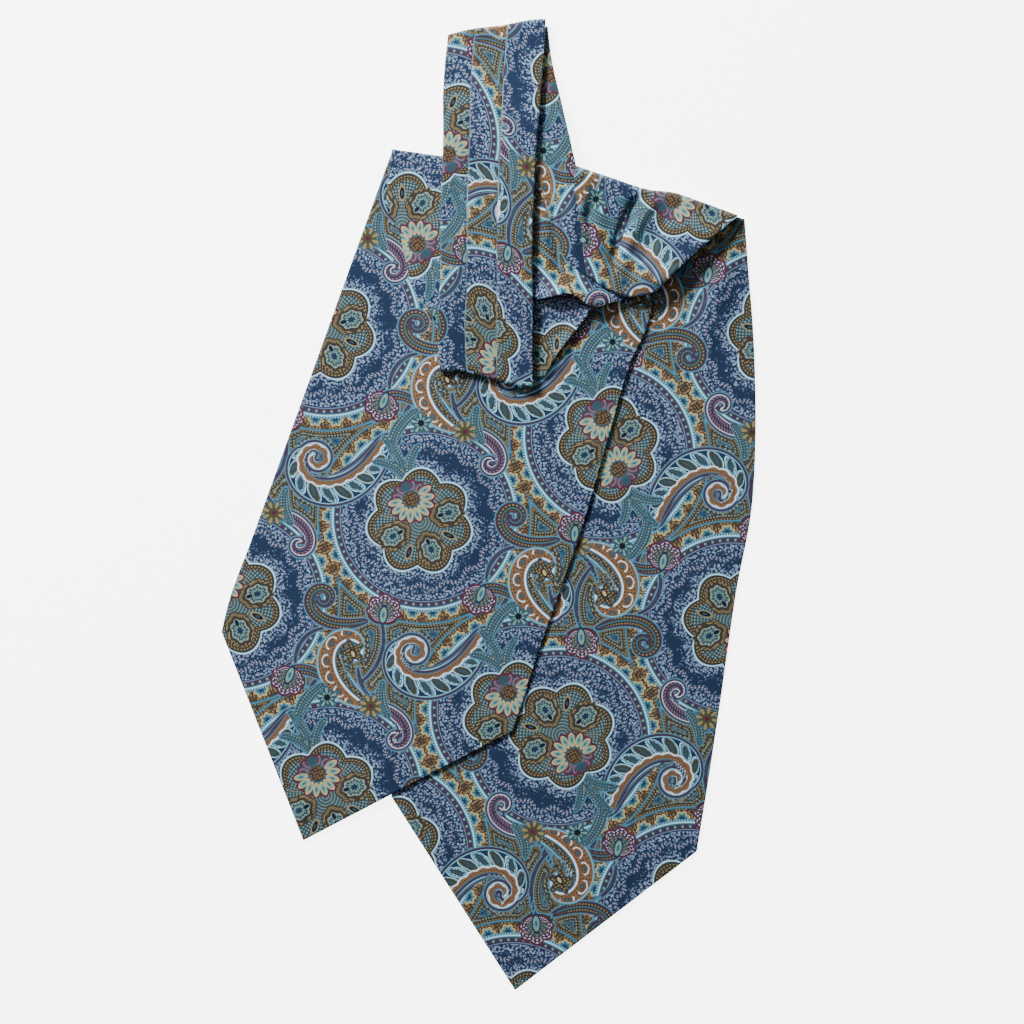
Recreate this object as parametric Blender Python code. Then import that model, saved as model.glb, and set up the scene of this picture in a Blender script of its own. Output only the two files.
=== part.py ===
"""Silk cravat laid flat: one bias-cut strip, wide pointed blades at both ends and a pleated
neckband between them, folded over itself as it lies on a table.

Millimetres in the tables, metres in the mesh. X is across, Y runs up the cravat, Z is up from
the table. The cloth is followed from one point to the other: blade_under, turnback_under,
band_back, band_front, turnback_over, blade_over.
"""
import math

import bmesh
import bpy
import numpy as np

MM = 0.001
# Middle of the tables' own box, which the finished mesh puts on the origin.
CENTRE = (-0.365, 0.118, 0.0)

# Wall of a blade or turn-back (silk folded to a flat tube) and of the pleated neckband.
BLADE_WALL = 1.2
BAND_WALL = 1.6
GAP = 0.3
# Height that one blade adds to whatever lies on it.
PLY = BLADE_WALL + GAP
# The back stretch of the neckband climbs on to the blades by three plies.
BAND_LIFT = 3 * PLY
PLEAT_STEP = 0.5
BAND_STEP = BAND_WALL + GAP + PLEAT_STEP + 0.1

# Blade rows: share of the way from the point's shoulder to the top fold, then the left edge,
# the middle and the right edge. The first row is the point.
ROW_NAMES = ("share", "left_x", "left_y", "mid_x", "mid_y", "right_x", "right_y")
BLADE_UNDER_ROWS = (
    (0.00, -49.0, -146.0, 13.0, -243.0, 104.0, -173.5),
    (0.06, -45.8, -126.0, 17.0, -205.0, 107.3, -154.0),
    (0.20, -38.6, -81.0, 30.0, -125.0, 114.0, -111.0),
    (0.42, -27.0, -9.0, 44.0, -40.0, 123.5, -45.5),
    (0.62, -15.5, 62.0, 55.0, 42.0, 132.5, 8.5),
    (0.72, -10.5, 93.0, 58.0, 75.0, 133.6, 45.0),
    (0.82, -6.0, 122.0, 60.0, 104.0, 132.5, 84.0),
    (0.92, -2.5, 146.0, 61.5, 133.0, 129.8, 119.0),
    (1.00, 0.0, 166.0, 62.0, 156.0, 127.9, 141.2),
)
BLADE_OVER_ROWS = (
    (0.00, -134.0, -63.5, -93.0, -168.0, 12.0, -113.0),
    (0.06, -131.0, -50.5, -80.0, -130.0, 16.5, -100.0),
    (0.22, -119.5, -18.7, -58.0, -75.0, 25.2, -72.5),
    (0.42, -102.8, 27.5, -38.0, -14.0, 41.8, -26.3),
    (0.60, -87.0, 71.0, -21.0, 40.0, 54.0, 12.5),
    (0.76, -73.0, 110.0, -8.0, 88.0, 69.5, 66.5),
    (0.88, -60.5, 144.5, 3.0, 126.0, 82.0, 101.0),
    (0.95, -54.0, 162.5, 7.5, 149.0, 82.0, 128.0),
    (1.00, -49.3, 175.2, 10.0, 166.6, 71.0, 152.0),
)

# Turned-over top of the blade that lies uppermost. Its sides draw in to the neckband.
TURN_OVER_FOLD = ((-48.8, 177.6), (-23.0, 174.0), (20.0, 168.0), (43.5, 163.5), (66.0, 157.6), (71.5, 154.6))
TURN_OVER_LEFT = ((-48.8, 177.6), (-50.0, 167.0), (-51.0, 157.0), (-50.3, 146.0), (-46.5, 141.0),
                  (-42.5, 126.0), (-38.0, 108.5), (-29.5, 96.5), (-26.0, 88.0), (-24.6, 70.4))
TURN_OVER_RIGHT = ((71.5, 154.6), (66.0, 128.0), (51.0, 97.5), (32.0, 71.5), (28.0, 64.0))
TURN_OVER_END = ((-24.6, 70.4), (-11.5, 70.2), (0.5, 67.0), (11.5, 64.2), (18.3, 63.0), (28.0, 64.0))

# Front stretch of the neckband, from the bottom loop up to the top loop.
FRONT_LOW = ((-24.6, 67.5), (-11.5, 67.0), (0.5, 63.8), (11.5, 60.5), (18.2, 59.0), (22.0, 59.4))
FRONT_TOP = ((-20.6, 234.6), (-11.0, 237.0), (8.0, 239.6), (22.5, 242.2), (28.4, 242.5))
FRONT_LEFT = ((-24.6, 67.5), (-25.6, 88.0), (-24.5, 110.0), (-24.0, 152.5), (-23.0, 182.5), (-23.0, 206.5),
              (-21.6, 226.0), (-20.6, 234.6))
FRONT_RIGHT = ((22.0, 59.4), (22.0, 100.0), (22.0, 137.5), (22.6, 153.0), (23.6, 176.0), (25.5, 199.0),
               (27.0, 222.0), (28.4, 242.5))
# Share of the width at which each pressed pleat ends.
PLEAT_SHARES = (0.29, 0.62)
BACK_PLEAT_SHARE = 0.62

# Back stretch: down behind the front one, then round to the right as the roll under the fan.
BACK_TOP = ((-18.6, 231.0), (-11.0, 233.6), (8.0, 236.4), (22.5, 239.0), (29.4, 239.6))
BACK_LEFT = ((-18.6, 231.0), (-16.0, 205.0), (-11.0, 176.0), (-5.0, 150.0), (5.0, 126.0), (14.0, 110.0),
             (22.5, 103.2), (41.0, 105.0), (52.0, 99.2), (63.0, 101.6), (79.0, 105.6))
BACK_RIGHT = ((29.4, 239.6), (31.2, 224.5), (36.5, 200.5), (42.0, 176.5), (43.0, 166.0), (45.6, 152.0),
              (49.0, 136.0), (52.5, 121.0), (61.5, 113.0), (72.0, 111.0), (80.5, 110.0))
BACK_END = ((79.0, 105.6), (80.5, 110.0))

# Turned-over top of the blade underneath: a fan gathered towards the neckband.
FAN_FOLD = ((43.7, 169.0), (60.0, 163.6), (82.0, 156.9), (90.0, 156.2), (108.4, 150.3), (124.5, 144.4))
FAN_LEFT = ((43.7, 169.0), (43.9, 160.0), (45.0, 149.0))
FAN_LOW = ((45.0, 149.0), (46.2, 136.0), (47.4, 123.4), (49.4, 115.0), (54.2, 110.8), (61.0, 106.8),
           (66.0, 104.6), (73.0, 104.0), (83.0, 106.6))
FAN_RIGHT = ((124.5, 144.4), (115.8, 137.2), (103.8, 126.8), (83.0, 106.6))

COLOURS = {
    "blade_under": (0.10, 0.20, 0.32),
    "blade_over": (0.13, 0.26, 0.40),
    "turnback_over": (0.24, 0.33, 0.42),
    "turnback_under": (0.30, 0.24, 0.14),
    "band_front": (0.34, 0.19, 0.14),
    "band_back": (0.18, 0.16, 0.26),
}


def ease(start, end, value):
    """0 before start, 1 after end, with a soft turn at both; start may be the larger."""
    share = np.clip((np.asarray(value, float) - start) / (end - start), 0, 1)
    return share * share * (3 - 2 * share)


def along(points, shares):
    """Points on a short table of corners, at shares of its length, rounded by Catmull-Rom."""
    p = np.array(points, float)
    step = np.hypot(*np.diff(p, axis=0).T)
    length = np.concatenate([[0], np.cumsum(step)])
    at = np.clip(np.asarray(shares, float), 0, 1) * length[-1]
    i = np.clip(np.searchsorted(length, at, side="right") - 1, 0, len(step) - 1)
    t = ((at - length[i]) / step[i])[:, None]
    slope = np.gradient(p, length, axis=0)
    a, b = p[i], p[i + 1]
    ma, mb = slope[i] * step[i][:, None], slope[i + 1] * step[i][:, None]
    return ((2 * t ** 3 - 3 * t ** 2 + 1) * a + (t ** 3 - 2 * t ** 2 + t) * ma
            + (3 * t ** 2 - 2 * t ** 3) * b + (t ** 3 - t ** 2) * mb)


def patch(low, top, left, right, u, v):
    """Four-sided patch between its edge tables: u runs left to right, v from low to top."""
    lo, hi = along(low, u)[:, None], along(top, u)[:, None]
    le, ri = along(left, v)[None], along(right, v)[None]
    U, V = u[:, None, None], v[None, :, None]
    corner = ((1 - U) * (1 - V) * lo[0, 0] + U * (1 - V) * lo[-1, 0]
              + (1 - U) * V * hi[0, 0] + U * V * hi[-1, 0])
    return (1 - V) * lo + V * hi + (1 - U) * le + U * ri - corner


def under_edge_x(y):
    """X of the hidden left edge of the blade underneath."""
    rows = np.array(BLADE_UNDER_ROWS)
    return np.interp(y, rows[:, 2], rows[:, 1])


def lift(x, y):
    """What the blade underneath adds to whatever crosses its left edge."""
    return PLY * ease(-13.0, -4.0, x - under_edge_x(y))


def metres(point):
    return tuple((float(c) - o) * MM for c, o in zip(point, CENTRE))


def solid(name, top, bottom):
    """Closed shell from two grids of points, one above the other."""
    nu, nv = top.shape[:2]
    mesh = bmesh.new()
    up = [[mesh.verts.new(metres(top[i, j])) for j in range(nv)] for i in range(nu)]
    dn = [[mesh.verts.new(metres(bottom[i, j])) for j in range(nv)] for i in range(nu)]
    for i in range(nu - 1):
        for j in range(nv - 1):
            mesh.faces.new((up[i][j], up[i + 1][j], up[i + 1][j + 1], up[i][j + 1]))
            mesh.faces.new((dn[i][j], dn[i][j + 1], dn[i + 1][j + 1], dn[i + 1][j]))
    rim = ([(i, 0) for i in range(nu)] + [(nu - 1, j) for j in range(1, nv)]
           + [(i, nv - 1) for i in range(nu - 2, -1, -1)] + [(0, j) for j in range(nv - 2, 0, -1)])
    for (a, b), (c, d) in zip(rim, rim[1:] + rim[:1]):
        mesh.faces.new((up[a][b], dn[a][b], dn[c][d], up[c][d]))
    bmesh.ops.recalc_face_normals(mesh, faces=mesh.faces)
    bmesh.ops.triangulate(mesh, faces=mesh.faces)
    data = bpy.data.meshes.new(name)
    mesh.to_mesh(data)
    mesh.free()
    material = bpy.data.materials.new(name + "_silk")
    material.use_nodes = True
    shader = material.node_tree.nodes["Principled BSDF"]
    shader.inputs["Base Color"].default_value = (*COLOURS[name], 1)
    shader.inputs["Roughness"].default_value = 0.5
    data.materials.append(material)
    piece = bpy.data.objects.new(name, data)
    bpy.context.scene.collection.objects.link(piece)
    print(name, len(data.polygons), "triangles")
    return piece


def normals(mid):
    """Unit normals of a grid of points."""
    n = np.cross(np.gradient(mid, axis=0), np.gradient(mid, axis=1))
    n /= np.linalg.norm(n, axis=2)[:, :, None]
    return n


def sheet(name, mid, wall):
    """Shell of an even wall about a middle surface."""
    n = normals(mid)
    turned = -1 if n[mid.shape[0] // 2, mid.shape[1] // 2, 2] < 0 else 1
    return solid(name, mid + n * turned * wall / 2, mid - n * turned * wall / 2)


def blade(name, rows, across, down, bottom):
    """Pointed blade: each row runs left edge, middle, right edge, bent like the point."""
    table = np.array(rows)
    share = np.linspace(0, 1, down)
    cut = [np.interp(share, table[:, 0], table[:, c]) for c in range(1, 7)]
    left, mid, right = (np.stack(cut[k:k + 2], -1) for k in (0, 2, 4))
    u = np.linspace(0, 1, across)[:, None, None]
    xy = np.where(u < 0.5, left + (mid - left) * 2 * u, mid + (right - mid) * (2 * u - 1))
    low = bottom(xy[..., 0], xy[..., 1])[..., None]
    return solid(name, np.concatenate([xy, low + BLADE_WALL], 2), np.concatenate([xy, low], 2))


def rolled(edges, across, down, low_z, high_z, turns, both=False, far_z=None):
    """Middle surface that comes round a fold at its low edge and runs on to its top edge.

    edges are the four edge tables, low_z(x, y) the height before the fold and
    high_z(u, v, x, y) the one after it. With both, the top edge is folded down too, to far_z.
    """
    u = np.linspace(0, 1, across)
    probe = patch(*edges, u, np.linspace(0, 1, 25))
    length = np.linalg.norm(np.diff(probe, axis=1), axis=2).sum(1)
    ends = [0.0, 1.0] if both else [0.0]
    radius, start = {}, {}
    for end in ends:
        edge = patch(*edges, u, np.array([end]))[:, 0]
        near = high_z(u, np.full_like(u, end), edge[:, 0], edge[:, 1])
        start[end] = low_z(edge[:, 0], edge[:, 1]) if end == 0.0 else far_z
        radius[end] = (near - start[end]) / 2
    first = radius[0.0] / length
    last = 1 - (radius[1.0] / length if both else 0 * first)
    rows = [("low", a) for a in np.linspace(0, math.pi, turns)[:-1]]
    rows += [("run", t) for t in np.linspace(0, 1, down)]
    rows += [("far", a) for a in np.linspace(math.pi, 0, turns)[1:]] if both else []
    mid = np.zeros((across, len(rows), 3))
    for j, (kind, t) in enumerate(rows):
        if kind == "run":
            v = first + (last - first) * t
        elif kind == "low":
            v = radius[0.0] * (1 - math.sin(t)) / length
        else:
            v = 1 - radius[1.0] * (1 - math.sin(t)) / length
        for i in range(across):
            grid = patch(*edges, np.array([0.0, u[i], 1.0]), np.array([0.0, v[i], 1.0]))
            mid[i, j, :2] = grid[1, 1]
        z = high_z(u, v, mid[:, j, 0], mid[:, j, 1])
        if kind == "low":
            z = start[0.0] + radius[0.0] * (1 - math.cos(t))
        if kind == "far":
            z = far_z + radius[1.0] * (1 - math.cos(t))
        mid[:, j, 2] = z
    return mid


def band_lift(y, start):
    """Climb from the table on to the stack of blades, towards the lower end of the band."""
    return BAND_LIFT * ease(start, start - 17.0, y)


def front_height(u, v, x, y):
    pleats = sum(PLEAT_STEP * ease(s - 0.02, s + 0.02, u) for s in PLEAT_SHARES)
    return BAND_WALL / 2 + BAND_STEP + band_lift(y, 203.0) + pleats


def turn_over_height(u, v, x, y):
    rise = 0.35 * ease(0.55, 1.0, v) * (1 + np.cos(u * 26.0)) / 2
    return PLY + BLADE_WALL / 2 + lift(x, y) + rise


def fan_height(u, v, x, y):
    """High along the gathered side, where it lies on the roll, and lower towards the fold."""
    gathered = 2.5 * np.maximum(ease(0.62, 0.9, v), ease(0.22, 0.1, u))
    pleats = 0.6 * np.sin(6.4 * math.pi * u + 0.6) * ease(0.05, 0.4, v) * (1 - ease(0.8, 1.0, v))
    return BAND_LIFT + BLADE_WALL / 2 + 0.55 + gathered + pleats


def band_back_mid(across, down):
    u, v = np.linspace(0, 1, across), np.linspace(0, 1, down)
    xy = patch(BACK_TOP, BACK_END, BACK_LEFT, BACK_RIGHT, u, v)
    pleat = PLEAT_STEP * ease(BACK_PLEAT_SHARE - 0.03, BACK_PLEAT_SHARE + 0.03, u)[:, None]
    z = BAND_WALL / 2 + band_lift(xy[..., 1], 197.0) + pleat
    return np.concatenate([xy, z[..., None]], 2)


def build():
    for old in list(bpy.data.objects):
        bpy.data.objects.remove(old, do_unlink=True)
    blade("blade_under", BLADE_UNDER_ROWS, 15, 17, lambda x, y: 0 * x)
    blade("blade_over", BLADE_OVER_ROWS, 25, 25, lift)
    over = rolled((TURN_OVER_FOLD, TURN_OVER_END, TURN_OVER_LEFT, TURN_OVER_RIGHT),
                  29, 17, lambda x, y: lift(x, y) + BLADE_WALL / 2, turn_over_height, 7)
    sheet("turnback_over", over, BLADE_WALL)
    fan = rolled((FAN_FOLD, FAN_LOW, FAN_LEFT, FAN_RIGHT), 25, 15, lambda x, y: BLADE_WALL / 2 + 0 * x, fan_height, 8)
    sheet("turnback_under", fan, BLADE_WALL)
    front = rolled((FRONT_LOW, FRONT_TOP, FRONT_LEFT, FRONT_RIGHT), 21, 25,
                   lambda x, y: BAND_LIFT - PLY + BAND_WALL / 2 + 0 * x, front_height, 8, both=True, far_z=BAND_WALL / 2)
    sheet("band_front", front, BAND_WALL)
    sheet("band_back", band_back_mid(15, 45), BAND_WALL)


build()
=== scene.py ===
# %% [markdown]
# # A silk cravat laid flat on a table
#
# A scarf cravat is one long strip of printed silk twill, cut on the bias: a wide pointed blade
# at each end and a neckband between them, pressed into three flat pleats. Here it lies folded
# as it is shown for sale. The blades fan out, their tops are turned over, and the neckband
# stands up above them in a loop. The numbers are millimetres, X across and Y up the cravat.

import ast
import math

import bpy
import numpy as np
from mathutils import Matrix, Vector


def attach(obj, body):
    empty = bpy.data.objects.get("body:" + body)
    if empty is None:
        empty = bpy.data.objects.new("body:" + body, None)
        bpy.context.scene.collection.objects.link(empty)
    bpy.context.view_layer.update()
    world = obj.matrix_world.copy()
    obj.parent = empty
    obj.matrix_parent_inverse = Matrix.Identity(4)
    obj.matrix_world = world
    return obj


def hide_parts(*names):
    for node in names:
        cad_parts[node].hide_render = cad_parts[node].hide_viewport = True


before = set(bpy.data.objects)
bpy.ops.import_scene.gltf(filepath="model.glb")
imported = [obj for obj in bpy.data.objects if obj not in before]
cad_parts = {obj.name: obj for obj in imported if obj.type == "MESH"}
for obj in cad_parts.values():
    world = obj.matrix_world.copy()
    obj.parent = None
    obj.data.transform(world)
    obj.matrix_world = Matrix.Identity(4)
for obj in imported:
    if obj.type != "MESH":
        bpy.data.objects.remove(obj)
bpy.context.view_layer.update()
print("nodes:", sorted(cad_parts))

# %% [markdown]
# ## Sizes
#
# The blades are 155 mm wide. Everything is laid in tables of a few points each: edges as they
# were laid down, corner by corner, in millimetres on the table. The part was made from the same
# tables, but for a few millimetres here and there where cloth tucks under cloth.

# %% Sizes and edges
MM = 0.001
CENTRE = np.array([-0.365, 0.118, 0.0])
BLADE_WALL, BAND_WALL, GAP = 1.2, 1.6, 0.3
BLADE_WIDTH, BLADE_LENGTH = 155.0, 340.0
FRONT_WIDTH, BACK_WIDTH, BACK_LENGTH = 46.0, 53.0, 190.0
OVER_WIDTH, FAN_WIDTH = 100.0, 110.0
PLY = BLADE_WALL + GAP
BAND_LIFT = 3 * PLY
PLEAT_STEP = 0.5
BAND_STEP = BAND_WALL + GAP + PLEAT_STEP + 0.1
PLEAT_SHARES = (0.29, 0.62)
BACK_PLEAT_SHARE = 0.62
# Length over which the band comes down to the table at its top loop.
LOOP_RAMP = 62.0
# Cloth that lies hidden in each pleat, in front and behind, and the cloth across the front.
FRONT_TUCK, BACK_TUCK, FRONT_CLOTH = 14.0, 12.0, 48.0

# Blade rows: share of the way up, then left edge, middle and right edge. The first is the point.
BLADE_UNDER_ROWS = (
    (0.00, -49.0, -146.0, 13.0, -243.0, 104.0, -173.5),
    (0.06, -45.8, -126.0, 17.0, -205.0, 107.3, -154.0),
    (0.20, -38.6, -81.0, 30.0, -125.0, 114.0, -111.0),
    (0.42, -27.0, -9.0, 44.0, -40.0, 123.5, -45.5),
    (0.62, -15.5, 62.0, 55.0, 42.0, 132.5, 8.5),
    (0.72, -10.5, 93.0, 58.0, 75.0, 133.6, 45.0),
    (0.82, -6.0, 122.0, 60.0, 104.0, 132.5, 84.0),
    (0.92, -2.5, 146.0, 61.5, 133.0, 129.8, 119.0),
    (1.00, 0.0, 166.0, 68.0, 159.4, 128.0, 143.2),
)
BLADE_OVER_ROWS = (
    (0.00, -134.0, -63.5, -93.0, -168.0, 12.0, -113.0),
    (0.06, -131.0, -50.5, -80.0, -130.0, 16.5, -100.0),
    (0.22, -119.5, -18.7, -58.0, -75.0, 25.2, -72.5),
    (0.42, -102.8, 27.5, -38.0, -14.0, 41.8, -26.3),
    (0.60, -87.0, 71.0, -21.0, 40.0, 54.0, 12.5),
    (0.76, -73.0, 110.0, -8.0, 88.0, 69.5, 66.5),
    (0.88, -60.5, 144.5, 3.0, 126.0, 82.0, 101.0),
    (0.95, -54.0, 162.5, 7.5, 149.0, 82.0, 128.0),
    (1.00, -49.3, 175.2, 10.0, 166.6, 71.0, 152.0),
)
TURN_OVER_FOLD = ((-48.8, 177.6), (-23.0, 174.0), (20.0, 168.0), (43.5, 163.5), (66.0, 157.6), (71.5, 154.6))
TURN_OVER_LEFT = ((-48.8, 177.6), (-50.0, 167.0), (-51.0, 157.0), (-50.3, 146.0), (-46.5, 141.0),
                  (-42.5, 126.0), (-38.0, 108.5), (-29.5, 96.5), (-26.0, 88.0), (-24.6, 70.4))
TURN_OVER_RIGHT = ((71.5, 154.6), (66.0, 128.0), (51.0, 97.5), (32.0, 71.5), (28.0, 64.0))
TURN_OVER_END = ((-24.6, 70.4), (-11.5, 70.2), (0.5, 67.0), (11.5, 64.2), (18.3, 63.0), (28.0, 64.0))
FRONT_LOW = ((-24.6, 67.5), (-11.5, 67.0), (0.5, 63.8), (11.5, 60.5), (18.2, 59.0), (22.0, 59.4))
FRONT_TOP = ((-20.6, 234.6), (-11.0, 237.0), (8.0, 239.6), (22.5, 242.2), (28.4, 242.5))
FRONT_LEFT = ((-24.6, 67.5), (-25.6, 88.0), (-24.5, 110.0), (-24.0, 152.5), (-23.0, 182.5), (-23.0, 206.5),
              (-21.6, 226.0), (-20.6, 234.6))
FRONT_RIGHT = ((22.0, 59.4), (22.0, 100.0), (22.0, 137.5), (22.6, 153.0), (23.6, 176.0), (25.5, 199.0),
               (27.0, 222.0), (28.4, 242.5))
BACK_TOP = ((-18.6, 231.0), (-11.0, 233.6), (8.0, 236.4), (22.5, 239.0), (29.4, 239.6))
BACK_LEFT = ((-18.6, 231.0), (-16.0, 205.0), (-11.0, 176.0), (-5.0, 150.0), (5.0, 126.0), (14.0, 110.0),
             (22.5, 103.2), (41.0, 105.0), (52.0, 99.2), (63.0, 101.6), (79.0, 105.6))
BACK_RIGHT = ((29.4, 239.6), (31.2, 224.5), (36.5, 200.5), (42.0, 176.5), (44.2, 166.0), (45.6, 152.0),
              (49.0, 136.0), (52.5, 121.0), (61.5, 113.0), (72.0, 111.0), (80.5, 110.0))
BACK_END = ((79.0, 105.6), (80.5, 110.0))
FAN_FOLD = ((43.0, 169.2), (60.0, 163.6), (82.0, 156.9), (90.0, 156.2), (108.4, 150.3), (124.5, 144.4))
FAN_LEFT = ((43.0, 169.2), (42.6, 160.0), (44.3, 149.0))
FAN_LOW = ((44.3, 149.0), (46.2, 136.0), (47.4, 123.4), (49.4, 115.0), (54.2, 110.8), (61.0, 106.8),
           (66.0, 104.6), (73.0, 104.0), (83.0, 106.6))
FAN_RIGHT = ((124.5, 144.4), (115.8, 137.2), (103.8, 126.8), (83.0, 106.6))

# %% [markdown]
# ## Cloth as a grid
#
# Each stretch is a grid of points that follows the cloth: across it one way, along it the
# other. Grid lines crowd at the borders, where the wall rounds over, because a silk tube is
# pressed to a soft edge and never to a sharp one. Rows and columns elsewhere are a millimetre
# or so apart, which is fine enough for creases and for the print.

# %% Tools that lay a grid
def ease(start, end, value):
    """0 before start, 1 after end, with a soft turn at both; start may be the larger."""
    share = np.clip((np.asarray(value, float) - start) / (end - start), 0, 1)
    return share * share * (3 - 2 * share)


def along(points, shares):
    """Points on a short table of corners, at shares of its length, rounded by Catmull-Rom."""
    p = np.array(points, float)
    step = np.hypot(*np.diff(p, axis=0).T)
    length = np.concatenate([[0], np.cumsum(step)])
    at = np.clip(np.asarray(shares, float), 0, 1) * length[-1]
    i = np.clip(np.searchsorted(length, at, side="right") - 1, 0, len(step) - 1)
    t = ((at - length[i]) / step[i])[..., None]
    slope = np.gradient(p, length, axis=0)
    ma, mb = slope[i] * step[i][..., None], slope[i + 1] * step[i][..., None]
    return ((2 * t ** 3 - 3 * t ** 2 + 1) * p[i] + (t ** 3 - 2 * t ** 2 + t) * ma
            + (3 * t ** 2 - 2 * t ** 3) * p[i + 1] + (t ** 3 - t ** 2) * mb)


def smooth(at, x, y):
    """Value of a table's column at a share, rounded through its rows."""
    slope = np.gradient(y, x)
    i = np.clip(np.searchsorted(x, at, side="right") - 1, 0, len(x) - 2)
    h = x[i + 1] - x[i]
    t = (at - x[i]) / h
    return ((2 * t ** 3 - 3 * t ** 2 + 1) * y[i] + (t ** 3 - 2 * t ** 2 + t) * h * slope[i]
            + (3 * t ** 2 - 2 * t ** 3) * y[i + 1] + (t ** 3 - t ** 2) * h * slope[i + 1])


def patch(edges, u, v):
    """Points of a four-sided patch: edges are low, top, left, right; u and v are equal grids."""
    low, top, left, right = edges
    lo, hi = along(low, u), along(top, u)
    le, ri = along(left, v), along(right, v)
    a, b, c, d = (np.array(p, float) for p in (low[0], low[-1], top[0], top[-1]))
    U, V = u[..., None], v[..., None]
    corner = (1 - U) * (1 - V) * a + U * (1 - V) * b + (1 - U) * V * c + U * V * d
    return (1 - V) * lo + V * hi + (1 - U) * le + U * ri - corner


def lines(length, step, extra=()):
    """Shares of a length for grid lines: step mm apart, crowded at both ends and round extra."""
    rim = np.array([0, 0.06, 0.18, 0.36, 0.62, 1.0]) * 0.9
    inner = np.linspace(rim[-1], length - rim[-1], max(2, round(length / step)))
    marks = [rim, inner, length - rim[::-1]] + [s * length + np.linspace(-0.9, 0.9, 7) for s in extra]
    at = np.unique(np.concatenate(marks).round(3))
    keep = np.concatenate([[True], np.diff(at) > 0.04])
    return at[keep] / length


def rim_round(share, length, wall):
    """How much of the wall's half thickness is left near a border."""
    inward = np.minimum(share, 1 - share) * length / (wall * 0.55)
    return np.sqrt(np.clip(1 - (1 - np.clip(inward, 0, 1)) ** 2, 0, 1))


print("a blade's grid lines across:", len(lines(BLADE_WIDTH, 1.25)))

# %% Tools that crease it
def near_line(x, y, points):
    """Distance from points to a line of corners, and how far along it the nearest place is."""
    p = np.array(points, float)
    best = np.full(np.shape(x), 1e9)
    where = np.zeros(np.shape(x))
    for i in range(len(p) - 1):
        run = p[i + 1] - p[i]
        t = np.clip(((x - p[i, 0]) * run[0] + (y - p[i, 1]) * run[1]) / (run @ run), 0, 1)
        d = np.hypot(x - p[i, 0] - t * run[0], y - p[i, 1] - t * run[1])
        closer = d < best
        best = np.where(closer, d, best)
        where = np.where(closer, (i + t) / (len(p) - 1), where)
    return best, where


def creased(x, y, creases):
    """Sum of soft ridges and troughs: each is (height, width, corners), fading at its ends."""
    z = np.zeros(np.shape(x))
    for height, width, corners in creases:
        d, t = near_line(x, y, along(corners, np.linspace(0, 1, 16)))
        fade = np.sqrt(np.clip(np.sin(math.pi * np.clip(t, 0.02, 0.98)), 0, 1))
        z += height * fade * np.exp(-(d / width) ** 2)
    return z


def under_edge_x(y):
    """X of the hidden left edge of the blade underneath."""
    rows = np.array(BLADE_UNDER_ROWS)
    return np.interp(y, rows[:, 2], rows[:, 1])


def lift(x, y):
    """What the blade underneath adds to whatever crosses its left edge."""
    return PLY * ease(-40.0, -4.0, x - under_edge_x(y))


def normals(mid):
    """Unit normals of a grid, turned so that they point up."""
    n = np.cross(np.gradient(mid, axis=0), np.gradient(mid, axis=1))
    n /= np.linalg.norm(n, axis=2)[:, :, None]
    centre = n[mid.shape[0] // 2, mid.shape[1] // 2, 2]
    return n if centre > 0 else -n


# %% Tool that closes a grid into a shell
SHEETS = {}


def shell(name, mid, half, cloth):
    """Closed shell about a grid: half its wall at each point, cloth the print's millimetres."""
    nu, nv = mid.shape[:2]
    n = normals(mid)
    top, low = mid + n * half[..., None], mid - n * half[..., None]
    index = np.arange(nu * nv).reshape(nu, nv)
    under = np.full((nu, nv), -1)
    inside = (slice(1, nu - 1), slice(1, nv - 1))
    under[inside] = nu * nv + np.arange((nu - 2) * (nv - 2)).reshape(nu - 2, nv - 2)
    under[under < 0] = index[under < 0]
    quad = lambda g: np.stack([g[:-1, :-1], g[1:, :-1], g[1:, 1:], g[:-1, 1:]], -1).reshape(-1, 4)
    up, down = quad(index), quad(under)[:, ::-1]
    du, dv = np.gradient(mid[..., 0], axis=0), np.gradient(mid[..., 1], axis=1)
    eu, ev = np.gradient(mid[..., 0], axis=1), np.gradient(mid[..., 1], axis=0)
    flipped = np.median(du * dv - eu * ev) < 0
    faces = np.concatenate([up, down])
    faces = faces[:, ::-1] if flipped else faces
    points = (np.concatenate([top.reshape(-1, 3), low[inside].reshape(-1, 3)]) - CENTRE) * MM
    mesh = bpy.data.meshes.new(name)
    mesh.from_pydata(points.tolist(), [], faces.tolist())
    mesh.shade_smooth()
    where = np.concatenate([cloth.reshape(-1, 2), cloth[inside].reshape(-1, 2)])
    corner = np.zeros(len(mesh.loops), np.int32)
    mesh.loops.foreach_get("vertex_index", corner)
    uv = mesh.uv_layers.new(name="cloth")
    uv.data.foreach_set("uv", (where[corner] * MM).ravel())
    piece = bpy.data.objects.new(name + "_cloth", mesh)
    bpy.context.scene.collection.objects.link(piece)
    SHEETS[name] = (piece, where)
    print(name, "shell:", len(faces) * 2, "triangles")
    return piece


def print_place(x, y, at, turn):
    """Millimetres of the print where (x, y) shows it: at is where its medallion lies."""
    a = math.radians(turn)
    dx, dy = x - at[0], y - at[1]
    return np.stack([dx * math.cos(a) + dy * math.sin(a), dy * math.cos(a) - dx * math.sin(a)], -1)


# %% [markdown]
# ## The two blades
#
# Rows run across each blade bent like its point, so that the grid keeps to both edges and both
# sides of the point. The one on top climbs over the hidden edge of the other.

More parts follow.
